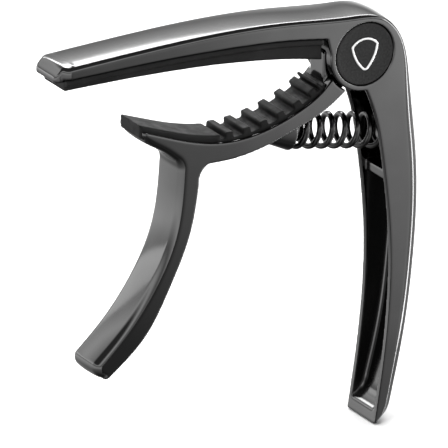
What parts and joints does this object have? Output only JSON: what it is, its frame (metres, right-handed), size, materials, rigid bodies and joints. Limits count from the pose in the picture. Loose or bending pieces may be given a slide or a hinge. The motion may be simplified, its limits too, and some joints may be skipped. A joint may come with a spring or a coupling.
{
  "type": "guitar capo",
  "caption": "Spring-loaded trigger capo: bar with rubber string pad and hollow handle, hinged jaw with ribbed neck pad and trigger.",
  "frame": {"origin": "middle of the gap between the two pads, half-way along the bar and midway between the sides", "axes": "+X from the open end of the jaws towards the pivot, +Y along the pivot pin towards its retaining ring, +Z from the jaw towards the bar"},
  "size_m": [0.0879, 0.012, 0.0959],
  "materials": {
    "black_chrome": "dark polished",
    "pad_rubber": "satin",
    "spring_steel": "dark, glossy",
    "pin_steel": "satin",
    "bushing_brass": "satin",
    "washer_nylon": "matte",
    "cap_black": "fine-grained matte",
    "tape_white": "matte",
    "inlay_nickel": "polished"
  },
  "bodies": {
    "frame": {"frame_casting": "black_chrome", "string_pad": "pad_rubber", "pivot_pin": "pin_steel", "pin_retaining_ring": "pin_steel", "front_cap": "cap_black", "rear_cap": "cap_black", "front_cap_tape": "tape_white", "rear_cap_tape": "tape_white", "front_cap_inlay": "inlay_nickel", "compression_spring": "spring_steel"},
    "lever": {"trigger_lever": "black_chrome", "neck_pad": "pad_rubber", "pivot_bushing": "bushing_brass", "front_thrust_washer": "washer_nylon", "rear_thrust_washer": "washer_nylon"}
  },
  "joints": [
    {"name": "lever_hinge", "type": "hinge", "parent": "frame", "child": "lever", "pos_m": [0.03625, 0, 0.00377], "axis": [0, -1, 0], "range_deg": [0, 27], "stiffness_Nm_per_rad": 3, "springref_deg": -26.93, "deforming": ["compression_spring"]}
  ]
}
